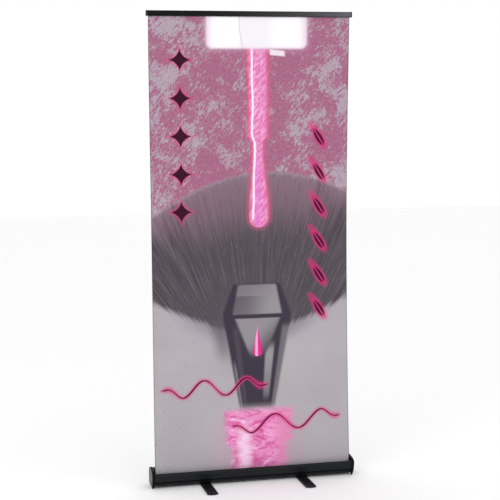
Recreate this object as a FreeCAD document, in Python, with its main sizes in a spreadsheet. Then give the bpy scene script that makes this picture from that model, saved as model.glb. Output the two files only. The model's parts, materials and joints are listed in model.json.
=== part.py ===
import FreeCAD, Part
import math
import os

# Roll-up banner stand. Millimetres, +Z up, the printed side faces -Y.
# The origin is on the floor, midway between the two foot pivots.

V = FreeCAD.Vector
doc = FreeCAD.newDocument("RollUpBannerStand")

# ---------------------------------------------------------------- dimensions
DIMS = [
    ("film_width", 850.0),
    ("film_thick", 0.3),
    ("film_plane_y", -14.5),
    ("film_low_z", 38.0),
    ("rail_low_z", 1959.0),
    ("rail_height", 22.0),
    ("rail_depth", 14.0),
    ("rail_length", 856.0),
    ("rail_shift", 3.0),
    ("rail_wall", 1.4),
    ("rail_cap_thick", 6.0),
    ("housing_length", 862.0),
    ("housing_low_z", 9.0),
    ("housing_wall", 2.0),
    ("cap_thick", 9.5),
    ("cap_edge_round", 2.8),
    ("cap_low_z", 6.0),
    ("roller_y", -0.2),
    ("roller_z", 38.0),
    ("tube_radius", 12.5),
    ("tube_wall", 1.0),
    ("wraps_radius", 13.8),
    ("shaft_radius", 4.0),
    ("running_gap", 0.05),
    ("spring_radius", 6.4),
    ("spring_wire", 1.4),
    ("spring_pitch", 9.0),
    ("spring_length", 270.0),
    ("foot_pivot_x", 210.0),
    ("foot_length", 360.0),
    ("foot_width", 44.0),
    ("foot_height", 8.0),
    ("foot_web_z", 2.0),
    ("foot_end_bow", 10.0),
    ("foot_turn", 1.0),
    ("bolt_radius", 4.0),
    ("bolt_head_radius", 7.5),
    ("pad_radius", 3.9),
    ("pad_x", 435.0),
    ("pad_y", -25.0),
    ("pole_y", 28.5),
    ("pole_radius", 7.0),
    ("pole_bore", 6.0),
    ("pole_low_z", 20.1),
    ("pole_joint_low_z", 664.0),
    ("pole_joint_high_z", 1308.0),
    ("pole_top_z", 1950.0),
    ("ferrule_radius", 5.95),
    ("ferrule_bore", 4.9),
    ("ferrule_half", 40.0),
    ("socket_radius", 9.0),
    ("socket_top_z", 81.5),
    ("cord_radius", 2.0),
    ("head_width", 12.0),
    ("tongue_low_z", 1969.0),
    ("tongue_top_z", 1975.7),
]
D = dict(DIMS)
sheet = doc.addObject("Spreadsheet::Sheet", "Dims")
for row, (alias, value) in enumerate(DIMS, start=1):
    sheet.set("A%d" % row, alias)
    sheet.set("B%d" % row, str(value))
    sheet.setAlias("B%d" % row, alias)
doc.recompute()

made = []  # the sub-parts, in the order they are built


# ---------------------------------------------------------------- helpers
def new_body(label):
    b = doc.addObject("PartDesign::Body", label)
    b.Label = label
    made.append(b)
    return b


def origin_plane(b, role):
    return [o for o in b.Origin.OriginFeatures if o.Role == role][0]


def new_sketch(b, name, role, offset=0.0, offset_expr=None):
    s = b.newObject("Sketcher::SketchObject", name)
    s.AttachmentSupport = [(origin_plane(b, role), "")]
    s.MapMode = "FlatFace"
    s.AttachmentOffset = FreeCAD.Placement(V(0, 0, offset), FreeCAD.Rotation())
    if offset_expr:
        s.setExpression("AttachmentOffset.Base.z", offset_expr)
    return s


def pin_point(s, geo, pos, x, y):
    """Holds a sketch point at x, y; each is a number or a (number, expression) pair."""
    for kind, value in (("DistanceX", x), ("DistanceY", y)):
        number, expr = value if isinstance(value, tuple) else (value, None)
        i = s.addConstraint(Sketcher.Constraint(kind, -1, 1, geo, pos, float(number)))
        if expr:
            s.setExpression("Constraints[%d]" % i, expr)


def num(value):
    return float(value[0] if isinstance(value, tuple) else value)


def outline(s, corners):
    """A closed loop. corners: (x, y) for a straight run to the next corner, or (x, y, (mid x, mid y)) for an arc to it."""
    n = len(corners)
    ends = []
    for i, c in enumerate(corners):
        d = corners[(i + 1) % n]
        p, q = V(num(c[0]), num(c[1]), 0), V(num(d[0]), num(d[1]), 0)
        if len(c) == 3:
            arc = Part.Arc(p, V(c[2][0], c[2][1], 0), q)
            g = s.addGeometry(arc, False)
            first = 1 if (s.getPoint(g, 1) - p).Length < (s.getPoint(g, 2) - p).Length else 2
            s.addConstraint(Sketcher.Constraint("Radius", g, s.Geometry[g].Radius))
        else:
            g = s.addGeometry(Part.LineSegment(p, q), False)
            first = 1
        ends.append((g, first))
    for i in range(n):
        g, first = ends[i]
        h, other = ends[(i + 1) % n]
        s.addConstraint(Sketcher.Constraint("Coincident", g, 3 - first, h, other))
        pin_point(s, g, first, corners[i][0], corners[i][1])


def circle(s, x, y, r, expr=None):
    g = s.addGeometry(Part.Circle(V(num(x), num(y), 0), V(0, 0, 1), float(r)), False)
    i = s.addConstraint(Sketcher.Constraint("Radius", g, float(r)))
    if expr:
        s.setExpression("Constraints[%d]" % i, expr)
    pin_point(s, g, 3, x, y)


def box_loop(s, x0, y0, x1, y1):
    outline(s, [(x0, y0), (x1, y0), (x1, y1), (x0, y1)])


def pad(b, s, length, expr=None, back=False):
    f = b.newObject("PartDesign::Pad", s.Name + "_pad")
    f.Profile = s
    f.Length = length
    f.Reversed = back
    if expr:
        f.setExpression("Length", expr)
    s.Visibility = False
    doc.recompute()
    return f


def pocket(b, s, length, expr=None, back=False):
    """Cuts, and stops if nothing was cut."""
    before = b.Shape.Volume
    f = b.newObject("PartDesign::Pocket", s.Name + "_pocket")
    f.Profile = s
    f.Length = length
    f.Reversed = back
    if expr:
        f.setExpression("Length", expr)
    s.Visibility = False
    doc.recompute()
    if not 1.0 < b.Shape.Volume < before - 0.5:
        raise RuntimeError("%s cut nothing" % f.Name)
    return f


def tube_z(label, x, y, z0, z1, r, bore, exprs=None):
    """A round piece along Z, drawn as a ring and padded upwards."""
    b = new_body(label)
    s = new_sketch(b, label + "_ring", "XY_Plane", z0, (exprs or {}).get("z0"))
    circle(s, x, y, r, (exprs or {}).get("r"))
    if bore:
        circle(s, x, y, bore, (exprs or {}).get("bore"))
    pad(b, s, z1 - z0, (exprs or {}).get("length"))
    return b


def round_x(label, steps, expr=None):
    """A turned piece on the roller's axis: a half-section revolved about a line along X. steps: (x, radius) corners of the half-section."""
    b = new_body(label)
    s = new_sketch(b, label + "_section", "XY_Plane")
    outline(s, steps)
    f = b.newObject("PartDesign::Revolution", label + "_turn")
    f.Profile = s
    f.ReferenceAxis = (s, ["H_Axis"])
    f.Angle = 360.0
    b.setExpression("Placement.Base.y", "Dims.roller_y")
    b.setExpression("Placement.Base.z", "Dims.roller_z")
    s.Visibility = False
    doc.recompute()
    return b


import Sketcher  # noqa: E402

ROLLER = (D["roller_y"], D["roller_z"])
HALF = D["housing_length"] / 2
Y0 = D["film_plane_y"]

# ---------------------------------------------------------------- base housing
# One extrusion. Its section is a rounded box, open at the top behind the front lip, where the film comes out.
housing = new_body("base_housing")
s = new_sketch(housing, "housing_outline", "YZ_Plane", -HALF, "-Dims.housing_length / 2")
low = (D["housing_low_z"], "Dims.housing_low_z")
floor_in = (D["housing_low_z"] + D["housing_wall"], "Dims.housing_low_z + Dims.housing_wall")
outline(
    s,
    [
        (-26, low, (-31.8, 15.5)),
        (-36, 25, (-41.2, 39)),
        (-44, 52, (-44.0, 60.0)),
        (-39.5, 65.2),
        (-8, 63),
        (1, 74.6, (10.5, 78.4)),
        (23, 79.2, (37.6, 74.2)),
        (45.6, 63, (50.5, 43)),
        (48.2, 22, (45.2, 13.4)),
        (38.5, low),
    ],
)
pad(housing, s, D["housing_length"], "Dims.housing_length")
s = new_sketch(housing, "housing_cavity", "YZ_Plane", -HALF - 1, "-Dims.housing_length / 2 - 1")
outline(
    s,
    [
        (-24.8, floor_in, (-29.9, 16.8)),
        (-33.9, 25.6, (-39.2, 39.6)),
        (-42, 52, (-42.0, 58.8)),
        (-38.8, 63.1),
        (-35.5, 63.1),
        (-35.5, 84),
        (-8, 84),
        (-8, 60.0),
        (2.1, 72.7, (10.9, 76.3)),
        (22.4, 77.2, (36.3, 72.5)),
        (43.8, 62.2, (48.5, 43)),
        (46.3, 22.6, (43.6, 15.0)),
        (37.7, floor_in),
    ],
)
pocket(housing, s, D["housing_length"] + 2, "Dims.housing_length + 2", back=True)
# The shadow groove along the lower front, 17 mm above the bottom edge
s = new_sketch(housing, "housing_groove", "YZ_Plane", -HALF - 1, "-Dims.housing_length / 2 - 1")
outline(s, [(-39.5, 25.3), (-35.6, 25.3), (-35.9, 26.6), (-39.9, 26.6)])
pocket(housing, s, D["housing_length"] + 2, "Dims.housing_length + 2", back=True)
# Screw ports for the end caps
PORTS = [(-29.4, 19.6), (41.9, 17.6), (36.4, 69.4)]
for i, (py, pz) in enumerate(PORTS):
    s = new_sketch(housing, "housing_port_%d" % i, "YZ_Plane", -HALF, "-Dims.housing_length / 2")
    circle(s, py, pz, 3.4)
    pad(housing, s, D["housing_length"], "Dims.housing_length")
s = new_sketch(housing, "housing_port_holes", "YZ_Plane", -HALF - 1, "-Dims.housing_length / 2 - 1")
for py, pz in PORTS:
    circle(s, py, pz, 1.7)
pocket(housing, s, D["housing_length"] + 2, "Dims.housing_length + 2", back=True)
# The hole for the pole socket, in the roof
s = new_sketch(housing, "housing_socket_hole", "XY_Plane", 90)
circle(s, 0, (D["pole_y"], "Dims.pole_y"), D["socket_radius"] + 0.1, "Dims.socket_radius + 0.1")
pocket(housing, s, 60)
# Holes in the floor for the foot bolts and for the socket's screws
s = new_sketch(housing, "housing_floor_holes", "XY_Plane", 14)
for side in (-1, 1):
    circle(s, (side * D["foot_pivot_x"], "%d * Dims.foot_pivot_x" % side), 0, D["bolt_radius"] + 0.1, "Dims.bolt_radius + 0.1")
    circle(s, 15 * side, 24, 1.7)
pocket(housing, s, 8)

# ---------------------------------------------------------------- end caps
CAP = [
    (-29, (D["cap_low_z"], "Dims.cap_low_z"), (-36.2, 13.2)),
    (-41, 22, (-45.8, 36)),
    (-49.3, 52, (-48.2, 63.5)),
    (-40.5, 70.6, (-30, 74.6)),
    (-15, 77.2, (3, 79.3)),
    (20, 80.2, (39.5, 75.6)),
    (49.2, 61, (52.5, 42)),
    (50.2, 22, (47.2, 12)),
    (39.5, (D["cap_low_z"], "Dims.cap_low_z")),
]
for name, side in (("left", -1),):
    cap = new_body("end_cap_" + name)
    x_expr = "%d * Dims.housing_length / 2" % side
    s = new_sketch(cap, "cap_outline_" + name, "YZ_Plane", side * HALF, x_expr)
    outline(s, CAP)
    pad(cap, s, D["cap_thick"], "Dims.cap_thick", back=side < 0)
    # The domed outer face: its whole rim is rounded
    rim = []
    for i, e in enumerate(cap.Shape.Edges, start=1):
        if abs(e.BoundBox.XMin - side * (HALF + D["cap_thick"])) < 1e-4 and e.BoundBox.XLength < 1e-4:
            rim.append("Edge%d" % i)
    whole_cap = cap.Tip
    f = cap.newObject("PartDesign::Fillet", "cap_dome_" + name)
    f.Base = (whole_cap, rim)
    f.Radius = D["cap_edge_round"]
    f.setExpression("Radius", "Dims.cap_edge_round")
    cap.Tip = f
    doc.recompute()
    # Bearing boss towards the roller
    s = new_sketch(cap, "cap_boss_" + name, "YZ_Plane", side * HALF, x_expr)
    circle(s, (ROLLER[0], "Dims.roller_y"), (ROLLER[1], "Dims.roller_z"), 9.0)
    pad(cap, s, 3.6, back=side > 0)
    # Bore for the bush of the roller, or the holder of the fixed shaft
    s = new_sketch(cap, "cap_bore_" + name, "YZ_Plane", side * (HALF - 5))
    circle(s, (ROLLER[0], "Dims.roller_y"), (ROLLER[1], "Dims.roller_z"), 6.05)
    pocket(cap, s, 12.5, back=side > 0)
    # Screw holes, with a recess for each head
    s = new_sketch(cap, "cap_holes_" + name, "YZ_Plane", side * (HALF + 15))
    for py, pz in PORTS:
        circle(s, py, pz, 1.75)
    pocket(cap, s, 17, back=side < 0)
    s = new_sketch(cap, "cap_recesses_" + name, "YZ_Plane", side * (HALF + 11.5))
    for py, pz in PORTS:
        circle(s, py, pz, 3.2)
    pocket(cap, s, 6, back=side < 0)
    # Blind hole for the pad underneath
    s = new_sketch(cap, "cap_pad_hole_" + name, "XY_Plane", 12)
    circle(s, (side * D["pad_x"], "%d * Dims.pad_x" % side), (D["pad_y"], "Dims.pad_y"), D["pad_radius"] + 0.05, "Dims.pad_radius + 0.05")
    pocket(cap, s, 12)
# The right cap is the same moulding mirrored
mirror = doc.addObject("Part::Mirroring", "end_cap_right")
mirror.Label = "end_cap_right"
mirror.Source = cap
mirror.Normal = V(1, 0, 0)
mirror.Base = V(0, 0, 0)
doc.recompute()
made.append(mirror)
for name, side in (("left", -1), ("right", 1)):
    p = new_body("floor_pad_" + name)
    s = new_sketch(p, "pad_disc_" + name, "XY_Plane")
    circle(s, (side * D["pad_x"], "%d * Dims.pad_x" % side), (D["pad_y"], "Dims.pad_y"), D["pad_radius"], "Dims.pad_radius")
    pad(p, s, 11.9)

# ---------------------------------------------------------------- cap screws
for name, side in (("left", -1), ("right", 1)):
    screws = []
    for i, (py, pz) in enumerate(PORTS):
        turn = FreeCAD.Rotation(V(0, 1, 0), 90.0 * side)
        shank = doc.addObject("Part::Cylinder", "screw_shank_%s_%d" % (name, i))
        shank.Radius, shank.Height = 1.6, 21.5
        shank.Placement = FreeCAD.Placement(V(side * (HALF - 16), py, pz), turn)
        head = doc.addObject("Part::Cylinder", "screw_head_%s_%d" % (name, i))
        head.Radius, head.Height = 3.0, 2.0
        head.Placement = FreeCAD.Placement(V(side * (HALF + 5.5), py, pz), turn)
        slot = doc.addObject("Part::Box", "screw_slot_%s_%d" % (name, i))
        slot.Length, slot.Width, slot.Height = 1.2, 4.0, 0.9
        slot.Placement = FreeCAD.Placement(V(side * (HALF + 7.5) - 0.6, py - 2.0, pz - 0.45), FreeCAD.Rotation())
        whole = doc.addObject("Part::Fuse", "screw_whole_%s_%d" % (name, i))
        whole.Base, whole.Tool = shank, head
        cut = doc.addObject("Part::Cut", "screw_%s_%d" % (name, i))
        cut.Base, cut.Tool = whole, slot
        screws.append(cut)
    group = doc.addObject("Part::Compound", "cap_screws_" + name)
    group.Label = "cap_screws_" + name
    group.Links = screws
    made.append(group)

# ---------------------------------------------------------------- feet
# A flat bar: ribs along the top, four skids under it, bowed ends, a sunk hole for the pivot bolt.
for name, side in (("left", -1), ("right", 1)):
    foot = new_body("foot_" + name)
    half_w = D["foot_width"] / 2
    s = new_sketch(foot, "foot_section_" + name, "XZ_Plane", -D["foot_length"] / 2, "-Dims.foot_length / 2")
    top = (D["foot_height"], "Dims.foot_height")
    web = (D["foot_web_z"], "Dims.foot_web_z")
    pts = [(-half_w, 0), (-19, 0), (-19, web), (-8.5, web), (-8.5, 0), (-5.5, 0), (-5.5, web), (5.5, web), (5.5, 0), (8.5, 0), (8.5, web), (19, web), (19, 0), (half_w, 0)]
    pts += [(half_w, 6.2), (half_w - 1.8, top)]
    for gx in (17.0, 11.0, 5.0, -1.0, -7.0, -13.0):
        # grooves 2 mm wide and 0.9 mm deep between the ribs
        pts += [(gx, top), (gx - 0.3, 7.1), (gx - 3.7 + 2.0, 7.1), (gx - 2.0, top)]
    pts += [(-half_w + 1.8, top), (-half_w, 6.2)]
    outline(s, pts)
    pad(foot, s, D["foot_length"], "Dims.foot_length")
    # bowed ends
    s = new_sketch(foot, "foot_ends_" + name, "XY_Plane", D["foot_height"] + 1)
    e = D["foot_length"] / 2
    for up in (-1, 1):
        tip = (up * e, "%d * Dims.foot_length / 2" % up)
        back = (up * (e - D["foot_end_bow"]), "%d * (Dims.foot_length / 2 - Dims.foot_end_bow)" % up)
        outline(
            s,
            [
                (-half_w - 1, back, (0, up * (e - 0.4))),
                (half_w + 1, back),
                (half_w + 1, up * (e + 5)),
                (-half_w - 1, up * (e + 5)),
            ],
        )
    pocket(foot, s, D["foot_height"] + 2, "Dims.foot_height + 2")
    s = new_sketch(foot, "foot_bore_" + name, "XY_Plane", D["foot_height"] + 1)
    circle(s, 0, 0, D["bolt_radius"] + D["running_gap"], "Dims.bolt_radius + Dims.running_gap")
    pocket(foot, s, D["foot_height"] + 2, "Dims.foot_height + 2")
    s = new_sketch(foot, "foot_sink_" + name, "XY_Plane", 3.9)
    circle(s, 0, 0, D["bolt_head_radius"] + 1.7, "Dims.bolt_head_radius + 1.7")
    pocket(foot, s, 5)
    # the flat seat on top, where the washer bears
    s = new_sketch(foot, "foot_seat_" + name, "XY_Plane", D["foot_height"] + 1)
    circle(s, 0, 0, 11.0)
    pocket(foot, s, 2.05)
    foot.Placement = FreeCAD.Placement(V(side * D["foot_pivot_x"], 0, 0), FreeCAD.Rotation(V(0, 0, 1), D["foot_turn"]))
    foot.setExpression("Placement.Base.x", "%d * Dims.foot_pivot_x" % side)

# pivot bolts, washers and nuts
for name, side in (("left", -1), ("right", 1)):
    px = (side * D["foot_pivot_x"], "%d * Dims.foot_pivot_x" % side)
    b = new_body("foot_bolt_" + name)
    s = new_sketch(b, "bolt_shank_" + name, "XY_Plane", 1.0)
    circle(s, px, 0, D["bolt_radius"], "Dims.bolt_radius")
    pad(b, s, 16.5)
    s = new_sketch(b, "bolt_head_" + name, "XY_Plane", 1.0)
    circle(s, px, 0, D["bolt_head_radius"], "Dims.bolt_head_radius")
    pad(b, s, 2.5)
    s = new_sketch(b, "bolt_socket_" + name, "XY_Plane", 2.4)
    r = 2.6
    outline(s, [(px[0] + r * math.cos(math.radians(60 * k)), r * math.sin(math.radians(60 * k))) for k in range(6)])
    pocket(b, s, 2.0)

washers, nuts = [], []
for name, side in (("left", -1), ("right", 1)):
    ring = doc.addObject("Part::Cylinder", "washer_disc_" + name)
    ring.Radius, ring.Height = 10.0, 1.5
    eye = doc.addObject("Part::Cylinder", "washer_eye_" + name)
    eye.Height = 4.0
    eye.setExpression("Radius", "Dims.bolt_radius + 0.1")
    for o, z in ((ring, D["housing_low_z"] - 1.5), (eye, D["housing_low_z"] - 3)):
        o.Placement.Base = V(side * D["foot_pivot_x"], 0, z)
        o.setExpression("Placement.Base.x", "%d * Dims.foot_pivot_x" % side)
    w = doc.addObject("Part::Cut", "washer_" + name)
    w.Base, w.Tool = ring, eye
    washers.append(w)
    hexa = doc.addObject("Part::Prism", "nut_hex_" + name)
    hexa.Polygon, hexa.Circumradius, hexa.Height = 6, 7.5, 5.0
    eye = doc.addObject("Part::Cylinder", "nut_eye_" + name)
    eye.Height = 7.0
    eye.setExpression("Radius", "Dims.bolt_radius + 0.02")
    z = D["housing_low_z"] + D["housing_wall"]
    for o, zz in ((hexa, z), (eye, z - 1)):
        o.Placement.Base = V(side * D["foot_pivot_x"], 0, zz)
        o.setExpression("Placement.Base.x", "%d * Dims.foot_pivot_x" % side)
    n = doc.addObject("Part::Cut", "nut_" + name)
    n.Base, n.Tool = hexa, eye
    nuts.append(n)
for label, links in (("foot_washers", washers), ("foot_nuts", nuts)):
    g = doc.addObject("Part::Compound", label)
    g.Label = label
    g.Links = links
    made.append(g)

# ---------------------------------------------------------------- roller
half_f = D["film_width"] / 2
rt, rb = D["tube_radius"], D["tube_radius"] - D["tube_wall"]
hf = (half_f, "Dims.film_width / 2")
hm = (-half_f, "-Dims.film_width / 2")
r_out = (rt, "Dims.tube_radius")
r_in = (rb, "Dims.tube_radius - Dims.tube_wall")
round_x("roller_tube", [(hm, r_in), (hf, r_in), (hf, r_out), (hm, r_out)])
r_wrap = (D["wraps_radius"], "Dims.wraps_radius")
round_x("banner_wraps", [(hm, r_out), (hf, r_out), (hf, r_wrap), (hm, r_wrap)])
bore = (D["shaft_radius"] + D["running_gap"], "Dims.shaft_radius + Dims.running_gap")
spig = (rb - 0.02, "Dims.tube_radius - Dims.tube_wall - 0.02")
# left plug: turns on the fixed shaft
round_x("roller_plug_left", [(-half_f - 1.6, bore), (-half_f + 25, bore), (-half_f + 25, spig), (hm, spig), (hm, rt - 0.1), (-half_f - 1.6, rt - 0.1)])
# right plug: pressed round its pin
shaft_r = (D["shaft_radius"], "Dims.shaft_radius")
round_x("roller_plug_right", [(half_f - 25, shaft_r), (half_f + 1.6, shaft_r), (half_f + 1.6, rt - 0.1), (hf, rt - 0.1), (hf, spig), (half_f - 25, spig)])
round_x("roller_pin", [(half_f - 30, 0), (half_f + 12, 0), (half_f + 12, 3.2), (half_f + 11.2, shaft_r), (half_f - 30, shaft_r)])
round_x("roller_bush", [(HALF - 3.2, bore), (HALF + 7.2, bore), (HALF + 7.2, 6.0), (HALF - 3.2, 6.0)])
round_x("shaft_holder", [(-HALF - 7.2, shaft_r), (-HALF + 3.2, shaft_r), (-HALF + 3.2, 6.0), (-HALF - 7.2, 6.0)])
# fixed shaft, its anchor collar, the drive plug that the spring turns
x_drive = -half_f + 35 + D["spring_length"] + 8
round_x("spring_shaft", [(-HALF - 7.0, 0), (x_drive + 14, 0), (x_drive + 14, shaft_r), (-HALF - 7.0, shaft_r)])
round_x("spring_anchor", [(-half_f + 27, shaft_r), (-half_f + 35, shaft_r), (-half_f + 35, 8.6), (-half_f + 27, 8.6)])
round_x("spring_drive_plug", [(x_drive, bore), (x_drive + 18, bore), (x_drive + 18, spig), (x_drive, spig)])
# lock pin through the left cap's boss and the shaft end
pin_seat = HALF + 3.0
shaft = [o for o in made if o.Label == "spring_shaft"][0]
s = new_sketch(shaft, "shaft_cross_hole", "XY_Plane", -6)
circle(s, -pin_seat, 0, 1.25)
pocket(shaft, s, 14, back=True)
left_cap = [o for o in made if o.Label == "end_cap_left"][0]
s = new_sketch(left_cap, "cap_pin_hole", "XY_Plane", D["roller_z"] - 7.2)
circle(s, -pin_seat, D["roller_y"], 1.25)
pocket(left_cap, s, 14.4, back=True)
holder = [o for o in made if o.Label == "shaft_holder"][0]
s = new_sketch(holder, "holder_cross_hole", "XY_Plane", -8)
circle(s, -pin_seat, 0, 1.25)
pocket(holder, s, 16, back=True)
p = new_body("tension_lock_pin")
s = new_sketch(p, "lock_pin_disc", "XY_Plane", D["roller_z"] - 7)
circle(s, -pin_seat, D["roller_y"], 1.2)
pad(p, s, 14)

# torsion spring: a round wire along a helix about the shaft
r_s, wire = D["spring_radius"], D["spring_wire"]
x_s = -half_f + 35 + 1.2
turns_len = D["spring_length"]
helix = Part.makeHelix(D["spring_pitch"], turns_len, r_s)
section = Part.Wire([Part.makeCircle(wire / 2, V(r_s, 0, 0), V(0, 1, D["spring_pitch"] / (2 * math.pi * r_s)).normalize())])
coil = Part.Wire(helix.Edges).makePipeShell([section], True, True)
spring = doc.addObject("Part::Feature", "torsion_spring")
spring.Label = "torsion_spring"
spring.Shape = coil
spring.Placement = FreeCAD.Placement(V(x_s, D["roller_y"], D["roller_z"]), FreeCAD.Rotation(V(0, 1, 0), 90))
made.append(spring)

# ---------------------------------------------------------------- pole socket
b = new_body("pole_socket")
py = (D["pole_y"], "Dims.pole_y")
s = new_sketch(b, "socket_column", "XY_Plane", 13.5)
circle(s, 0, py, D["socket_radius"], "Dims.socket_radius")
pad(b, s, D["socket_top_z"] - 13.5, "Dims.socket_top_z - 13.5")
s = new_sketch(b, "socket_flange", "XY_Plane", D["housing_low_z"] + D["housing_wall"], "Dims.housing_low_z + Dims.housing_wall")
box_loop(s, -21, 19.5, 21, 32.5)
pad(b, s, 3.5)
s = new_sketch(b, "socket_well", "XY_Plane", D["socket_top_z"], "Dims.socket_top_z")
circle(s, 0, py, D["pole_radius"] + D["running_gap"], "Dims.pole_radius + Dims.running_gap")
pocket(b, s, D["socket_top_z"] - 20, "Dims.socket_top_z - 20")
s = new_sketch(b, "socket_screw_holes", "XY_Plane", 16)
for side in (-1, 1):
    circle(s, 15 * side, 24, 1.65)
pocket(b, s, 6)
screws = []
for side in (-1, 1):
    shank = doc.addObject("Part::Cylinder", "socket_shank_%d" % (side + 1))
    shank.Radius, shank.Height = 1.6, 6.3
    shank.Placement.Base = V(15 * side, 24, 8)
    head = doc.addObject("Part::Cylinder", "socket_head_%d" % (side + 1))
    head.Radius, head.Height = 3.2, 1.2
    head.Placement.Base = V(15 * side, 24, D["housing_low_z"] - 1.2)
    whole = doc.addObject("Part::Fuse", "socket_screw_%d" % (side + 1))
    whole.Base, whole.Tool = shank, head
    screws.append(whole)
g = doc.addObject("Part::Compound", "socket_screws")
g.Label = "socket_screws"
g.Links = screws
made.append(g)

# ---------------------------------------------------------------- pole
ring = {"r": "Dims.pole_radius", "bore": "Dims.pole_bore"}
y = py
tube_z("pole_lower", 0, y, D["pole_low_z"], D["pole_joint_low_z"], D["pole_radius"], D["pole_bore"],
       dict(ring, z0="Dims.pole_low_z", length="Dims.pole_joint_low_z - Dims.pole_low_z"))
tube_z("pole_middle", 0, y, D["pole_joint_low_z"], D["pole_joint_high_z"], D["pole_radius"], D["pole_bore"],
       dict(ring, z0="Dims.pole_joint_low_z", length="Dims.pole_joint_high_z - Dims.pole_joint_low_z"))
tube_z("pole_upper", 0, y, D["pole_joint_high_z"], D["pole_top_z"], D["pole_radius"], D["pole_bore"],
       dict(ring, z0="Dims.pole_joint_high_z", length="Dims.pole_top_z - Dims.pole_joint_high_z"))
for label, at in (("pole_ferrule_lower", "pole_joint_low_z"), ("pole_ferrule_upper", "pole_joint_high_z")):
    tube_z(label, 0, y, D[at] - D["ferrule_half"], D[at] + D["ferrule_half"], D["ferrule_radius"], D["ferrule_bore"],
           {"r": "Dims.ferrule_radius", "bore": "Dims.ferrule_bore", "z0": "Dims.%s - Dims.ferrule_half" % at, "length": "2 * Dims.ferrule_half"})
tube_z("pole_foot_plug", 0, y, D["pole_low_z"], D["pole_low_z"] + 14, D["ferrule_radius"], 0, {"r": "Dims.ferrule_radius", "z0": "Dims.pole_low_z"})
# elastic cord, knotted into the foot plug and the head
tube_z("pole_cord", 0, y, D["pole_low_z"] + 14, 1925.0, D["cord_radius"], 0, {"r": "Dims.cord_radius", "z0": "Dims.pole_low_z + 14"})
# head: a plug in the tube, a post, and a tongue that reaches forward into the rail's rear channel
head = new_body("pole_head")
s = new_sketch(head, "head_side", "YZ_Plane", -D["head_width"] / 2, "-Dims.head_width / 2")
t_low, t_top = (D["tongue_low_z"], "Dims.tongue_low_z"), (D["tongue_top_z"], "Dims.tongue_top_z")
outline(
    s,
    [
        (36.5, (D["pole_top_z"], "Dims.pole_top_z")),
        (36.5, 1972.0, (35.4, 1974.6)),
        (32.8, t_top),
        (-12.9, t_top),
        (-12.9, t_low),
        (-4.6, t_low, (12.5, 1964.0)),
        (20.5, (D["pole_top_z"], "Dims.pole_top_z")),
    ],
)
pad(head, s, D["head_width"], "Dims.head_width")
s = new_sketch(head, "head_plug", "XY_Plane", 1925)
circle(s, 0, y, D["ferrule_radius"], "Dims.ferrule_radius")
pad(head, s, 27)
s = new_sketch(head, "head_collar", "XY_Plane", D["pole_top_z"], "Dims.pole_top_z")
circle(s, 0, y, 8.4)
pad(head, s, 9)

# ---------------------------------------------------------------- top rail
# Section: a grip chamber with a slot below, a channel open to the rear above it, a hollow in front.
rail = new_body("top_rail")
rl = D["rail_length"] / 2
z0 = D["rail_low_z"]
yf, yr = Y0 - D["rail_depth"] / 2, Y0 + D["rail_depth"] / 2
s = new_sketch(rail, "rail_outline", "YZ_Plane", -rl, "-Dims.rail_length / 2")
front = (yf, "Dims.film_plane_y - Dims.rail_depth / 2")
rear = (yr, "Dims.film_plane_y + Dims.rail_depth / 2")
bottom = (z0, "Dims.rail_low_z")
roof = (z0 + D["rail_height"], "Dims.rail_low_z + Dims.rail_height")
outline(
    s,
    [
        (yf + 1.5, bottom),
        (-15.3, bottom),
        (-15.3, z0 + 1.4),
        (-19.8, z0 + 1.4),
        (-19.8, z0 + 7.4),
        (-9.2, z0 + 7.4),
        (-9.2, z0 + 1.4),
        (-13.7, z0 + 1.4),
        (-13.7, bottom),
        (yr - 1.0, bottom, (yr - 0.3, z0 + 0.3)),
        (rear, z0 + 1.0),
        (rear, z0 + 8.8),
        (-13.5, z0 + 8.8),
        (-13.5, z0 + 17.0),
        (rear, z0 + 17.0),
        (rear, z0 + 20.0, (yr - 0.6, z0 + 21.4)),
        (yr - 2.0, roof),
        (yf + 1.6, roof, (yf + 0.47, z0 + 21.53)),
        (front, z0 + 20.4, (yf - 0.35, z0 + 10.5)),
        (front, z0 + 1.5, (yf + 0.44, z0 + 0.44)),
    ],
)
pad(rail, s, D["rail_length"], "Dims.rail_length")
s = new_sketch(rail, "rail_hollow", "YZ_Plane", -rl - 1, "-Dims.rail_length / 2 - 1")
outline(s, [(-20.0, z0 + 8.8), (-15.0, z0 + 8.8), (-15.0, z0 + 20.4), (-17.5, z0 + 20.4), (-20.0, z0 + 17.8)])
outline(s, [(-13.5, z0 + 18.4), (-9.4, z0 + 18.4), (-9.4, z0 + 20.4), (-13.5, z0 + 20.4)])
pocket(rail, s, D["rail_length"] + 2, "Dims.rail_length + 2", back=True)
rail.setExpression("Placement.Base.x", "Dims.rail_shift")

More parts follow.
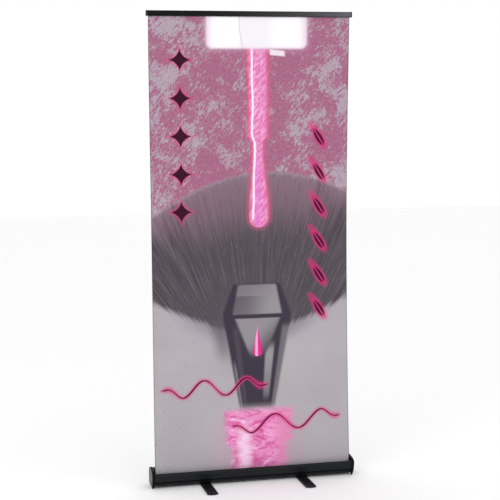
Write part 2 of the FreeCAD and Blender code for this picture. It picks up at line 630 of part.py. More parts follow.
for name, side in (("left", -1), ("right", 1)):
    cap = new_body("rail_end_cap_" + name)
    s = new_sketch(cap, "rail_cap_outline_" + name, "YZ_Plane", side * rl, "%d * Dims.rail_length / 2" % side)
    k = 0.5
    outline(
        s,
        [
            (yf - k + 2.0, z0 - k),
            (yr + k - 1.6, z0 - k, (yr + k - 0.45, z0 - k + 0.45)),
            (yr + k, z0 - k + 1.6),
            (yr + k, z0 + 20.2, (yr + k - 0.7, z0 + 21.8)),
            (yr - 2.0, z0 + 22 + k),
            (yf - k + 2.2, z0 + 22 + k, (yf - k + 0.64, z0 + 21.86)),
            (yf - k, z0 + 20.3, (yf - k - 0.35, z0 + 10.4)),
            (yf - k, z0 - k + 2.0, (yf - k + 0.6, z0 - k + 0.6)),
        ],
    )
    pad(cap, s, D["rail_cap_thick"], "Dims.rail_cap_thick", back=side < 0)
    rim = []
    for i, e in enumerate(cap.Shape.Edges, start=1):
        if abs(e.BoundBox.XMin - side * (rl + D["rail_cap_thick"])) < 1e-4 and e.BoundBox.XLength < 1e-4:
            rim.append("Edge%d" % i)
    plain = cap.Tip
    f = cap.newObject("PartDesign::Fillet", "rail_cap_round_" + name)
    f.Base = (plain, rim)
    f.Radius = 1.2
    cap.Tip = f
    doc.recompute()
    # spigot in the rail's hollow
    s = new_sketch(cap, "rail_cap_spigot_" + name, "YZ_Plane", side * rl, "%d * Dims.rail_length / 2" % side)
    box_loop(s, -19.8, z0 + 9.0, -15.2, z0 + 17.5)
    pad(cap, s, 12, back=side > 0)
    # the rail stands a little to the right of the film's middle
    cap.setExpression("Placement.Base.x", "Dims.rail_shift")

# ---------------------------------------------------------------- film and its grip strip
b = new_body("grip_strip")
s = new_sketch(b, "strip_section", "YZ_Plane", -half_f, "-Dims.film_width / 2")
box_loop(s, -17.6, z0 + 3.4, -11.4, z0 + 6.6)
pad(b, s, D["film_width"], "Dims.film_width")

b = new_body("banner_film")
s = new_sketch(b, "film_edge", "YZ_Plane", -half_f, "-Dims.film_width / 2")
ya = (Y0 - D["film_thick"] / 2, "Dims.film_plane_y - Dims.film_thick / 2")
yb = (Y0 + D["film_thick"] / 2, "Dims.film_plane_y + Dims.film_thick / 2")
za = (D["film_low_z"], "Dims.film_low_z")
zb = (z0 + 3.4, "Dims.rail_low_z + 3.4")
outline(s, [(ya, za), (yb, za), (yb, zb), (ya, zb)])
pad(b, s, D["film_width"], "Dims.film_width")

# ---------------------------------------------------------------- check and write
doc.recompute()
for o in doc.Objects:
    if "Invalid" in o.State or "Error" in o.State:
        raise RuntimeError("%s failed: %s" % (o.Name, o.State))
os.makedirs("parts", exist_ok=True)
labels = [o.Label for o in made]
if len(set(labels)) != len(labels):
    raise RuntimeError("two sub-parts share a label")
for o in made:
    if o.Shape.isNull() or not o.Shape.isValid() or not o.Shape.Solids:
        raise RuntimeError("%s has no valid solid" % o.Label)
for o in made:
    o.Shape.exportStep("parts/%s.step" % o.Label)
    box = o.Shape.BoundBox
    print("%-22s %d solid(s) %10.1f mm3  x %.1f..%.1f  y %.1f..%.1f  z %.1f..%.1f" % (
        o.Label, len(o.Shape.Solids), o.Shape.Volume, box.XMin, box.XMax, box.YMin, box.YMax, box.ZMin, box.ZMax))
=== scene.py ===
import json
import math

import bmesh
import bpy
import numpy as np
from mathutils import Matrix, Vector

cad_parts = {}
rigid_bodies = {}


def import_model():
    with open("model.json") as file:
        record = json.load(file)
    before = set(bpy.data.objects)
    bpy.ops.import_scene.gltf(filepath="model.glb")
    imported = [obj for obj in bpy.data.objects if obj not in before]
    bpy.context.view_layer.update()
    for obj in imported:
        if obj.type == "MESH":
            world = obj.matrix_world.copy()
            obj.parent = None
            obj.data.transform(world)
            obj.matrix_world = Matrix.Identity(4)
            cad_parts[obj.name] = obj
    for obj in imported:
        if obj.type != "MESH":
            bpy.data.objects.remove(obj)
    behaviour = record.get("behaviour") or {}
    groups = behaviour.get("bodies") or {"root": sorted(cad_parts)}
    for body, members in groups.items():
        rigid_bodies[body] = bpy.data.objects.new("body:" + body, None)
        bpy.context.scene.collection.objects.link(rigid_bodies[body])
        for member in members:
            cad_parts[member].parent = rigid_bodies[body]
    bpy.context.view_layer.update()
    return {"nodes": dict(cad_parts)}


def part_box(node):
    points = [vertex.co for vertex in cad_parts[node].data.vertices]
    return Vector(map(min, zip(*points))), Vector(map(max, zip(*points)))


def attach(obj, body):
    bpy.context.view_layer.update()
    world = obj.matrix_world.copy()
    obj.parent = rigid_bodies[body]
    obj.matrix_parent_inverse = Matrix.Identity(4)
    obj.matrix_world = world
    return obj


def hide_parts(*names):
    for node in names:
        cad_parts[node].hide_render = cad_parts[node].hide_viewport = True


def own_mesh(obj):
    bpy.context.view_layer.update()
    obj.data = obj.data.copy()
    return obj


for o in list(bpy.data.objects):
    bpy.data.objects.remove(o)

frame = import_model()
NODES = frame["nodes"]


# ------------------------------------------------------------------ colour and node helpers
def lin(r, g, b):
    """0..255 display values to a linear colour."""
    def f(c):
        c = c / 255.0
        return c / 12.92 if c <= 0.04045 else ((c + 0.055) / 1.055) ** 2.4
    return (f(r), f(g), f(b), 1.0)


class Val:
    """A value in a node tree, with arithmetic."""

    def __init__(self, tree, socket):
        self.t, self.s = tree, socket

    def _m(self, op, *others, clamp=False):
        n = self.t.nodes.new("ShaderNodeMath")
        n.operation = op
        n.use_clamp = clamp
        for i, v in enumerate((self,) + others):
            if isinstance(v, Val):
                self.t.links.new(v.s, n.inputs[i])
            else:
                n.inputs[i].default_value = float(v)
        return Val(self.t, n.outputs[0])

    def __add__(self, o): return self._m("ADD", o)
    def __radd__(self, o): return self._m("ADD", o)
    def __sub__(self, o): return self._m("SUBTRACT", o)
    def __rsub__(self, o): return (self * -1.0)._m("ADD", o)
    def __mul__(self, o): return self._m("MULTIPLY", o)
    def __rmul__(self, o): return self._m("MULTIPLY", o)
    def __truediv__(self, o): return self._m("DIVIDE", o)
    def __neg__(self): return self * -1.0
    def abs(self): return self._m("ABSOLUTE")
    def sqrt(self): return self._m("SQRT")
    def sin(self): return self._m("SINE")
    def power(self, o): return self._m("POWER", o)
    def lower(self, o): return self._m("MINIMUM", o)
    def upper(self, o): return self._m("MAXIMUM", o)
    def atan2(self, o): return self._m("ARCTAN2", o)

    def step(self, lo, hi):
        """0 below lo, 1 above hi, smooth between. hi may be the lower one."""
        n = self.t.nodes.new("ShaderNodeMapRange")
        n.interpolation_type = "SMOOTHSTEP"
        flip = hi < lo
        self.t.links.new(self.s, n.inputs[0])
        n.inputs[1].default_value, n.inputs[2].default_value = (hi, lo) if flip else (lo, hi)
        n.inputs[3].default_value, n.inputs[4].default_value = (1.0, 0.0) if flip else (0.0, 1.0)
        return Val(self.t, n.outputs[0])

    def remap(self, a, b, c, d):
        n = self.t.nodes.new("ShaderNodeMapRange")
        self.t.links.new(self.s, n.inputs[0])
        for i, v in enumerate((a, b, c, d)):
            n.inputs[i + 1].default_value = v
        return Val(self.t, n.outputs[0])


class Tree:
    """A material's node tree."""

    def __init__(self, name):
        self.m = bpy.data.materials.new(name)
        self.m.use_nodes = True
        self.t = self.m.node_tree
        self.t.nodes.clear()
        self.out = self.t.nodes.new("ShaderNodeOutputMaterial")
        self.p = self.t.nodes.new("ShaderNodeBsdfPrincipled")
        self.t.links.new(self.p.outputs[0], self.out.inputs[0])
        self.coord = self.t.nodes.new("ShaderNodeTexCoord")

    def split(self, vector):
        n = self.t.nodes.new("ShaderNodeSeparateXYZ")
        self.t.links.new(vector, n.inputs[0])
        return [Val(self.t, n.outputs[i]) for i in range(3)]

    def join(self, x, y, z):
        n = self.t.nodes.new("ShaderNodeCombineXYZ")
        for i, v in enumerate((x, y, z)):
            if isinstance(v, Val):
                self.t.links.new(v.s, n.inputs[i])
            else:
                n.inputs[i].default_value = float(v)
        return n.outputs[0]

    def place(self):
        """Position on the object, in metres."""
        return self.split(self.coord.outputs["Object"])

    def noise(self, vector, scale=1.0, detail=2.0, rough=0.5, distort=0.0):
        n = self.t.nodes.new("ShaderNodeTexNoise")
        self.t.links.new(vector, n.inputs["Vector"])
        n.inputs["Scale"].default_value = scale
        n.inputs["Detail"].default_value = detail
        n.inputs["Roughness"].default_value = rough
        n.inputs["Distortion"].default_value = distort
        return Val(self.t, n.outputs[0])

    def mix(self, fac, a, b):
        n = self.t.nodes.new("ShaderNodeMix")
        n.data_type = "RGBA"
        if isinstance(fac, Val):
            self.t.links.new(fac.s, n.inputs[0])
        else:
            n.inputs[0].default_value = fac
        for i, c in ((6, a), (7, b)):
            if isinstance(c, tuple):
                n.inputs[i].default_value = c
            else:
                self.t.links.new(c, n.inputs[i])
        return n.outputs[2]

    def set(self, key, value):
        if isinstance(value, Val):
            self.t.links.new(value.s, self.p.inputs[key])
        elif isinstance(value, (int, float, tuple)):
            self.p.inputs[key].default_value = value
        else:
            self.t.links.new(value, self.p.inputs[key])

    def bump(self, height, strength=0.3, distance=0.0005):
        n = self.t.nodes.new("ShaderNodeBump")
        n.inputs["Strength"].default_value = strength
        n.inputs["Distance"].default_value = distance
        self.t.links.new(height.s, n.inputs["Height"])
        self.t.links.new(n.outputs[0], self.p.inputs["Normal"])


# ------------------------------------------------------------------ materials
def extrusion(name, base, bright, rough, metallic, along="X", spec=0.5):
    """Anodised aluminium with fine die lines along its length, faint clouding, and dust-dull patches."""
    k = Tree(name)
    x, y, z = k.place()
    f = 0.6
    if along == "X":
        v = k.join(x * f, y * 900.0, z * 900.0)
        w = k.join(x * 2.0, y * 160.0, z * 160.0)
    else:
        v = k.join(x * 900.0, y * 900.0, z * f)
        w = k.join(x * 160.0, y * 160.0, z * 2.0)
    lines = k.noise(v, 1.0, 3.0, 0.6)
    bands = k.noise(w, 1.0, 2.0, 0.5)
    cloud = k.noise(k.join(x, y, z), 14.0, 3.0, 0.55)
    tone = (lines * 0.35 + bands * 0.35 + cloud * 0.5).step(0.42, 0.82)
    k.set("Base Color", k.mix(tone, base, bright))
    k.set("Metallic", metallic)
    k.set("Roughness", (lines * 0.16 + cloud * 0.10) + (rough - 0.12))
    k.set("Specular IOR Level", spec)
    k.bump(lines * 0.7 + bands * 0.3, 0.16, 0.0003)
    return k.m


def moulded(name, base, bright, rough, grain=1500.0, strength=0.25, spec=0.45):
    """Moulded plastic: fine spark-eroded grain, slight flow clouding."""
    k = Tree(name)
    x, y, z = k.place()
    p = k.join(x, y, z)
    fine = k.noise(p, grain, 2.0, 0.6)
    cloud = k.noise(p, 45.0, 3.0, 0.5)
    k.set("Base Color", k.mix(cloud.step(0.3, 0.75), base, bright))
    k.set("Roughness", fine * 0.12 + cloud * 0.10 + (rough - 0.11))
    k.set("Specular IOR Level", spec)
    k.bump(fine, strength, 0.00025)
    return k.m


def plated(name, base, bright, rough):
    """Zinc-plated steel with a faint spangle."""
    k = Tree(name)
    x, y, z = k.place()
    p = k.join(x, y, z)
    spangle = k.noise(p, 420.0, 3.0, 0.6, 0.4)
    k.set("Base Color", k.mix(spangle.step(0.35, 0.7), base, bright))
    k.set("Metallic", 1.0)
    k.set("Roughness", spangle * 0.2 + (rough - 0.1))
    k.bump(spangle, 0.12, 0.0002)
    return k.m


def housing_black(name):
    """Black anodised extrusion: die lines, clouding, painted shade in the groove along its front, and the front below
    the groove painted darker.
    """
    k = Tree(name)
    x, y, z = k.place()
    lines = k.noise(k.join(x * 0.6, y * 900.0, z * 900.0), 1.0, 3.0, 0.6)
    bands = k.noise(k.join(x * 2.0, y * 160.0, z * 160.0), 1.0, 2.0, 0.5)
    cloud = k.noise(k.join(x, y, z), 14.0, 3.0, 0.55)
    tone = (lines * 0.35 + bands * 0.35 + cloud * 0.5).step(0.42, 0.82)
    colour = k.mix(tone, (0.0066, 0.0080, 0.0088, 1), (0.0112, 0.0126, 0.0138, 1))
    # painted shade: the groove on the front is painted near black, with its reflection turned down; below the groove
    # the front is painted darker
    front = y.step(-0.026, -0.030)
    groove_shade = (z - 0.0258).abs().step(0.0032, 0.0018) * front
    low = z.step(0.0262, 0.0250) * front
    colour = k.mix(low * 0.45, colour, (0.0036, 0.0040, 0.0044, 1))
    colour = k.mix(groove_shade, colour, (0.0004, 0.0004, 0.0005, 1))
    k.set("Base Color", colour)
    k.set("Metallic", 0.0)
    k.set("Roughness", lines * 0.16 + cloud * 0.10 + 0.30)
    k.set("Specular IOR Level", (1.0 - groove_shade) * 0.15 + 0.02)
    k.bump(lines * 0.7 + bands * 0.3, 0.14, 0.0003)
    return k.m


def rail_black(name):
    """Black anodised clamp rail: die lines, a painted reflection that makes it paler towards its right-hand end, dark
    along both edges.
    """
    k = Tree(name)
    x, y, z = k.place()
    lines = k.noise(k.join(x * 0.6, y * 900.0, z * 900.0), 1.0, 3.0, 0.6)
    cloud = k.noise(k.join(x, y, z), 14.0, 3.0, 0.55)
    # painted reflection: a bloom of light along the rail, growing towards its right-hand end, is painted into the
    # colour
    t = ((x + 0.43) / 0.86).upper(0.0)
    painted_bloom = t * t * t
    colour = k.mix(lines.step(0.35, 0.75), (0.0022, 0.0022, 0.0025, 1), (0.0042, 0.0042, 0.0046, 1))
    colour = k.mix(painted_bloom.lower(1.0) * (lines * 0.12 + cloud * 0.12 + 0.88), colour, (0.112, 0.114, 0.124, 1))
    edge = (z - (rail_foot + 0.0022)).step(0.0008, -0.0012) + (z - (rail_foot + 0.0195)).step(-0.0008, 0.0012)
    colour = k.mix(edge.lower(1.0) * 0.72, colour, (0.0030, 0.0030, 0.0034, 1))
    k.set("Base Color", colour)
    k.set("Metallic", 0.0)
    k.set("Roughness", lines * 0.14 + cloud * 0.08 + 0.36)
    k.set("Specular IOR Level", 0.13)
    k.bump(lines, 0.14, 0.0003)
    return k.m


def cap_black(name):
    """Moulded end cap: spark-eroded grain, with a polished outer face that is also painted lighter as painted light."""
    k = Tree(name)
    x, y, z = k.place()
    p = k.join(x, y, z)
    fine = k.noise(p, 1500.0, 2.0, 0.6)
    cloud = k.noise(p, 45.0, 3.0, 0.5)
    geometry = k.t.nodes.new("ShaderNodeNewGeometry")
    nx, ny, nz = k.split(geometry.outputs["Normal"])
    outer = (nx * x._m("SIGN")).step(0.30, 0.80)
    dull = k.mix(cloud.step(0.3, 0.75), (0.0022, 0.0023, 0.0026, 1), (0.0040, 0.0042, 0.0046, 1))
    # painted light: the outer face gets a lighter colour than the rest of the cap, for the light falling on it from the
    # side; its higher specular is the polish
    painted_lit_face = k.mix(cloud.step(0.3, 0.75), (0.0100, 0.0104, 0.0110, 1), (0.0145, 0.0150, 0.0156, 1))
    k.set("Base Color", k.mix(outer, dull, painted_lit_face))
    k.set("Roughness", fine * 0.12 + cloud * 0.10 + 0.31)
    k.set("Specular IOR Level", outer * 0.36 + 0.07)
    k.bump(fine, 0.18, 0.00025)
    return k.m


def foot_paint(name):
    """Black satin powder coat: orange peel, rubbed lighter along the rib tops."""
    k = Tree(name)
    x, y, z = k.place()
    p = k.join(x, y, z)
    peel = k.noise(p, 650.0, 2.0, 0.5)
    rub = k.noise(p, 38.0, 4.0, 0.6)
    high = z.step(0.0074, 0.0080) * rub.step(0.45, 0.75)
    k.set("Base Color", k.mix(high, (0.0050, 0.0050, 0.0053, 1.0), (0.013, 0.013, 0.0135, 1.0)))
    k.set("Roughness", peel * 0.15 + rub * 0.1 + 0.30)
    k.set("Specular IOR Level", 0.35)
    k.bump(peel, 0.2, 0.0003)
    return k.m


def braid(name):
    """Braided elastic cord."""
    k = Tree(name)
    x, y, z = k.place()
    a = (x * 5200.0 + z * 2600.0).sin()
    b = (x * -5200.0 + z * 2600.0).sin()
    w = a.upper(b)
    k.set("Base Color", k.mix(w.step(-0.2, 0.9), (0.006, 0.006, 0.006, 1.0), (0.03, 0.03, 0.03, 1.0)))
    k.set("Roughness", 0.85)
    k.bump(w, 0.5, 0.0003)
    return k.m


rail_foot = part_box("top_rail")[0].z
M_HOUSING = housing_black("housing_anodised")
M_RAIL = rail_black("rail_anodised")
M_CAP = cap_black("cap_plastic")
M_RAIL_CAP = moulded("rail_cap_plastic", (0.004, 0.004, 0.0042, 1), (0.007, 0.007, 0.0074, 1), 0.5)
M_PLASTIC = moulded("black_plastic", (0.008, 0.008, 0.0085, 1), (0.013, 0.013, 0.014, 1), 0.46)
M_NYLON = moulded("nylon", (0.60, 0.58, 0.52, 1), (0.68, 0.66, 0.60, 1), 0.45, 700.0, 0.15)
M_RUBBER = moulded("pad_rubber", (0.006, 0.006, 0.006, 1), (0.010, 0.010, 0.010, 1), 0.85, 900.0, 0.4, 0.25)
M_FOOT = foot_paint("foot_powder_coat")
M_POLE = extrusion("pole_satin_aluminium", (0.42, 0.42, 0.43, 1), (0.58, 0.58, 0.59, 1), 0.36, 1.0, "Z")
M_TUBE = extrusion("tube_mill_aluminium", (0.50, 0.50, 0.51, 1), (0.66, 0.66, 0.67, 1), 0.34, 1.0)
M_STEEL = plated("zinc_steel", (0.42, 0.42, 0.43, 1), (0.62, 0.62, 0.63, 1), 0.38)
M_SPRING = plated("spring_steel", (0.16, 0.16, 0.17, 1), (0.28, 0.28, 0.29, 1), 0.35)
M_CORD = braid("elastic_braid")
M_GRIP = moulded("grip_pvc", (0.60, 0.60, 0.60, 1), (0.68, 0.68, 0.68, 1), 0.5, 600.0, 0.1)


# ------------------------------------------------------------------ the print on the film
WIDE, TALL = 0.850, 1.900  # the printed face, in metres


def film_print():
    """A generic cosmetic-style print with no words: rose hatching, a pale block with a glossy ribbon running down from it, a grey fan of
    fine radial strokes, a tapered grey ferrule with one bead on it, a rosy glow at the foot, two columns of small ornaments and two
    flourishes. x runs from the middle of the film, v down from the rail, both in metres."""
    k = Tree("film_print")
    uvn = k.t.nodes.new("ShaderNodeUVMap")
    uvn.uv_map = "print"
    u0, v0, _ = k.split(uvn.outputs[0])
    x = (u0 - 0.5) * WIDE
    v = (1.0 - v0) * TALL
    xy = k.join(x, v, 0.0)

    def inside(lo, hi, soft_lo, soft_hi, value):
        return (value - lo).step(-soft_lo, soft_lo) * (hi - value).step(-soft_hi, soft_hi)

    # --- rose and grey hatching
    c, s = math.cos(math.radians(52)), math.sin(math.radians(52))
    along, across = x * c - v * s, x * s + v * c
    stroke = k.noise(k.join(along * 30.0, across * 88.0, 0.0), 1.0, 4.0, 0.68, 0.25)
    fleck = k.noise(k.join(along * 85.0, across * 190.0, 3.0), 1.0, 3.0, 0.65)
    blotch = k.noise(xy, 7.0, 5.0, 0.62, 0.4)
    side = (x.abs() / (WIDE / 2)).step(0.45, 1.05)
    fac = (stroke * 0.75 + fleck * 0.38 + blotch * 0.95 + side * 0.085).step(1.035, 1.20)
    rose = k.mix(fleck.step(0.32, 0.68), lin(156, 90, 122), lin(170, 112, 140))
    grey = k.mix(fleck.step(0.30, 0.66), lin(166, 142, 160), lin(180, 168, 178))
    top = k.mix(fac, rose, grey)

    # --- pale field
    mist = k.noise(xy, 4.0, 3.0, 0.5)
    field = k.mix(mist.step(0.3, 0.7), lin(173, 167, 173), lin(179, 174, 179))
    warm = (v - 1.15).step(0.30, 0.02) * x.abs().step(0.40, 0.15)
    field = k.mix(warm * 0.65, field, lin(172, 154, 172))
    speck = k.noise(k.join(along * 60.0, across * 130.0, 7.0), 1.0, 2.0, 0.5).step(0.645, 0.71) * (x + 0.20).step(0.06, -0.14)
    field = k.mix(speck * 0.5, field, lin(118, 104, 120))

    # --- grey fan: a feathery arc above, two sloping edges below
    fx = x - 0.075
    feather = k.noise(k.join(x * 95.0, v * 14.0, 2.0), 1.0, 3.0, 0.7)
    arc = fx * fx * 0.74 + 0.640 + (feather - 0.5) * 0.050
    inside_top = (v - arc).step(-0.010, 0.016)
    hx, hy = x - 0.012, 1.66 - v
    angle = hx.atan2(hy)
    radius = (hx * hx + hy * hy).sqrt()
    hair = k.noise(k.join(angle * 165.0, radius * 4.0, 0.0), 1.0, 4.0, 0.7, 0.2)
    lock = k.noise(k.join(angle * 30.0, radius * 1.8, 5.0), 1.0, 3.0, 0.6)
    wild = k.noise(k.join(angle * 60.0, radius * 16.0, 9.0), 1.0, 4.0, 0.7, 0.8)
    low_edge = 1.362 - x.abs() * 0.43 + (lock - 0.5) * 0.05
    inside_low = (low_edge - v).step(-0.016, 0.020)
    depth = v - arc
    rims = x.abs().step(0.24, 0.43)
    fan = k.mix((depth * (rims * 1.1 + 1.0)).step(0.30, 0.02), lin(80, 73, 80), lin(133, 105, 120))
    fan = k.mix(depth.step(0.05, 0.0) * 0.35, fan, lin(140, 126, 134))
    edge_side = x.abs().step(0.10, 0.42)
    fan = k.mix(hair.step(0.46, 0.70) * 0.55, fan, lin(124, 112, 122))
    fan = k.mix(hair.step(0.50, 0.28) * (edge_side * 0.40 + 0.30), fan, lin(46, 40, 48))
    fan = k.mix(lock.step(0.50, 0.72) * edge_side * 0.55, fan, lin(50, 43, 52))
    fan = k.mix(lock.step(0.46, 0.30) * edge_side * 0.30, fan, lin(132, 124, 132))
    fan = k.mix(wild.step(0.56, 0.70) * 0.30, fan, lin(142, 112, 130))
    fan = k.mix(wild.step(0.44, 0.30) * 0.25, fan, lin(58, 50, 58))
    shade = (v - low_edge).step(0.075, 0.0) * x.abs().step(0.40, 0.10) * (1.0 - inside_low)
    body = k.mix(inside_top, top, field)
    body = k.mix(shade * 0.60, body, lin(108, 100, 108))
    body = k.mix(inside_top * inside_low, body, fan)

    # --- tapered ferrule
    fine = k.noise(k.join(x * 380.0, v * 380.0, 1.0), 1.0, 3.0, 0.65)
    px = x - 0.0175
    t = (v - 1.23) * 2.4
    half = (0.148 - (v - 1.25).upper(0.0) * 0.185) - (1.235 - v).upper(0.0) * 0.36
    shape = (half - px.abs()).step(-0.0065, 0.0085) * inside(1.108, 1.640, 0.006, 0.030, v)
    q = px / half
    metal = k.mix(fine.step(0.35, 0.70), lin(48, 40, 56), lin(76, 68, 82))
    metal = k.mix((q + 0.66).abs().step(0.16, 0.02) * (v - 1.27).step(0.0, 0.05) * 0.30, metal, lin(104, 98, 108))
    metal = k.mix((q + 0.87).abs().step(0.085, 0.02) * (v - 1.42).step(0.0, 0.06) * 0.80, metal, lin(128, 122, 130))
    bar = inside(0.30, 0.60, 0.05, 0.05, q) * inside(1.375, 1.590, 0.030, 0.030, v)
    metal = k.mix(bar * 0.92, metal, k.mix((v - 1.38).step(0.0, 0.2), lin(158, 154, 158), lin(128, 124, 130)))
    metal = k.mix((q - 0.90).abs().step(0.17, 0.05) * (v - 1.27).step(0.0, 0.04) * 0.85, metal, lin(118, 115, 120))
    vee = (0.100 - (v - 1.255) * 0.40 - (px - 0.004).abs()).step(-0.006, 0.012) * inside(1.2555, 1.41, 0.003, 0.030, v)
    sheen = k.mix((px * 5.0 + (v - 1.26) * 5.0).step(0.25, 0.95), lin(146, 141, 146), lin(84, 77, 86))
    metal = k.mix(vee, metal, k.mix(fine.step(0.4, 0.8) * 0.25, sheen, lin(120, 112, 120)))
    plate_half = 0.122 - (1.235 - v).upper(0.0) * 0.20
    plate = (plate_half - 0.014 - (px - 0.002).abs()).step(-0.005, 0.009) * inside(1.112, 1.238, 0.006, 0.004, v)
    plate_tone = k.mix((px * 4.0 + (v - 1.12) * 4.0).step(-0.35, 0.7), lin(124, 116, 124), lin(148, 144, 149))
    plate_tone = k.mix((v - 1.158).step(0.0, 0.004) * (px + 0.09).step(0.16, 0.02) * 0.55, plate_tone, lin(74, 66, 76))
    metal = k.mix(plate, metal, plate_tone)
    body = k.mix(shape, body, metal)
    soft_l = (px + half + 0.020).abs().step(0.062, 0.002) * inside(1.26, 1.42, 0.02, 0.05, v) * (1.0 - shape)
    body = k.mix(soft_l * 0.6, body, lin(98, 90, 99))

    # --- rosy glow at the foot
    wob = (k.noise(k.join(x * 5.0, v * 26.0, 4.0), 1.0, 3.0, 0.6) - 0.5) * 0.07
    gh = 0.150 - (v - 1.77).step(0.0, 0.05) * 0.030
    glow_mask = (gh - (x - 0.024 + wob).abs()).step(-0.016, 0.022) * (v - 1.648 - wob * 0.5).step(-0.020, 0.016)
    facets = k.noise(k.join(x * 13.0, v * 24.0, 2.0), 1.0, 4.0, 0.7, 1.6)
    glow = k.mix(facets.step(0.34, 0.60), lin(214, 84, 156), lin(240, 156, 206))
    glow = k.mix(facets.step(0.58, 0.70) * x.step(0.10, -0.02), glow, lin(255, 238, 252))
    glow = k.mix((x - 0.075).step(0.0, 0.05) * 0.75, glow, lin(226, 138, 182))
    core = (x + 0.040 + wob).abs().step(0.048, 0.0) * (v - 1.66).step(0.0, 0.10)
    glow = k.mix(core * 0.75, glow, lin(255, 226, 250))
    body = k.mix((x - 0.02).abs().step(0.26, 0.10) * (v - 1.62).step(0.0, 0.10) * 0.30, body, lin(206, 140, 176))
    body = k.mix(glow_mask * 0.95, body, glow)

    # --- small bead on the ferrule
    bx, by = x - 0.0215, v - 1.396
    bead_half = (by + 0.130).upper(0.0).power(1.5) * 0.50
    drop = (bead_half.lower(0.0215) - bx.abs()).step(-0.0016, 0.0030) * (by + 0.128).step(0.0, 0.012)
    cap_y = by.upper(0.0)
    drop = drop * (0.00050 - cap_y * cap_y - bx * bx * 0.9).step(-0.00006, 0.00006)
    bead = k.mix((bx + 0.006).abs().step(0.010, 0.001), lin(214, 48, 140), lin(252, 170, 214))
    bead = k.mix((bx - 0.012).step(0.0, 0.008) * 0.5, bead, lin(150, 20, 92))
    body = k.mix(drop, body, bead)

    # --- glossy ribbon under the block
    rx = x - 0.029 + (v * 14.0).sin() * 0.0016
    r_half = 0.0440 - (v - 0.520).step(-0.035, 0.0) * 0.0190 + (v - 0.545).step(0.0, 0.27) * 0.0190
    tip = (v - 0.826).upper(0.0)
    r_end = 0.00190 - tip * tip - rx * rx
    ribbon = (r_half - rx.abs()).step(-0.004, 0.005) * r_end.step(-0.00035, 0.00020)
    rib = k.mix(stroke.step(0.40, 0.62), lin(222, 112, 172), lin(240, 176, 214))
    rib = k.mix((rx / r_half).step(-0.2, 0.9) * 0.35, rib, lin(214, 120, 186))
    rib = k.mix((rx / r_half).abs().step(0.60, 1.02) * 0.75, rib, lin(216, 82, 118))
    inner = (rx + r_half * 0.15).abs().step(0.020, 0.004) * (v - 0.55).step(0.0, 0.05)
    rib = k.mix(inner * 0.55, rib, lin(226, 120, 210))
    shine = rx + r_half * 0.56 + (v * 31.0).sin() * 0.0013
    rib = k.mix(shine.abs().step(0.0062, 0.0020) * (v - 0.845).step(0.0, -0.02), rib, lin(255, 234, 250))
    halo = (r_half.lower(0.0440) + 0.012 - (tip * tip + rx * rx).sqrt()).step(-0.010, 0.012)
    body = k.mix(halo * 0.42, body, lin(208, 92, 128))
    body = k.mix(ribbon, body, rib)

    # --- pale rounded block at the top
    wx = x - 0.0265
    dx = (wx.abs() - 0.186).upper(0.0)
    dv = (v - 0.102).upper(0.0)
    reach = (dx * dx + dv * dv).sqrt()
    block = reach.step(0.036, 0.020)
    pale = k.mix((wx + 0.075).step(-0.012, 0.012), lin(254, 251, 254), lin(240, 236, 242))
    pale = k.mix((wx + 0.074 - (v - 0.05).upper(0.0) * 0.18).abs().step(0.0050, 0.0) * 0.8, pale, lin(212, 206, 216))
    pale = k.mix((wx - 0.03).step(0.0, 0.06), pale, lin(250, 247, 251))
    pale = k.mix(wx.abs().step(0.172, 0.215) * 0.8, pale, lin(226, 206, 224))
    pale = k.mix((v - 0.105).step(0.0, 0.03) * 0.5, pale, lin(236, 220, 234))
    body = k.mix(reach.step(0.060, 0.026) * 0.30, body, lin(206, 158, 188))
    body = k.mix(block, body, pale)
    foot = inside(0.055, 0.118, 0.006, 0.006, wx) * inside(0.128, 0.150, 0.004, 0.004, v - wx * 0.1)
    body = k.mix(foot * 0.8, body, lin(250, 238, 250))

    # --- ornaments with a soft halo: four-pointed sparkles on the left, slanting petals on the right
    def column(cx, first, pitch, count):
        n = (v - first) / pitch + 0.5
        local = (n._m("FRACT") - 0.5) * pitch
        return x - cx, local, inside(first - pitch / 2, first + pitch * (count - 0.5), 0.001, 0.001, v)

    ax, ay, on = column(-0.298, 0.176, 0.156, 5)
    star = ax.abs().power(0.62) + ay.abs().power(0.62)
    halo = star.step(0.232, 0.100) * on
    core = star.step(0.160, 0.146) * on
    body = k.mix(halo * 0.85, body, lin(212, 58, 128))
    body = k.mix(core, body, lin(56, 6, 34))
    ax, ay, on = column(0.292, 0.500, 0.1455, 6)
    lean = math.radians(32)
    p1 = ax * math.cos(lean) - ay * math.sin(lean)
    p2 = ax * math.sin(lean) + ay * math.cos(lean)
    petal = (p1 * 2.9) * (p1 * 2.9) + p2 * p2 * (1.0 + p2 * 6.0)
    petal = petal.upper(0.0).sqrt()
    body = k.mix(petal.step(0.082, 0.034) * on * 0.85, body, lin(204, 40, 118))
    vein = (p1.abs() + 0.0016).step(0.0030, 0.0055) * petal.step(0.041, 0.036) * on
    body = k.mix(vein, body, lin(66, 8, 42))

    # --- two flourishes low on the film
    for cx, cy, wide, tall, waves, lean in ((-0.165, 1.545, 0.235, 0.034, 34.0, -0.02), (0.145, 1.705, 0.245, 0.036, 30.0, -0.05)):
        lx = x - cx
        env = (wide - lx.abs()).step(0.0, 0.10)
        line = (lx * waves).sin() * env * tall + lx * lean
        off = (v - cy - line).abs()
        steep = (lx * waves + math.pi / 2).sin().abs() * (tall * waves) * 0.72 + 1.0
        gap = off / steep
        reach = (wide - lx.abs()).step(-0.004, 0.02)
        body = k.mix(gap.step(0.0135, 0.0015) * reach * 0.75, body, lin(218, 52, 128))
        pen = (lx * waves * 0.5).sin().abs() * 0.0016 + 0.0010
        body = k.mix((gap - pen).step(0.0009, -0.0006) * reach, body, lin(58, 4, 36))

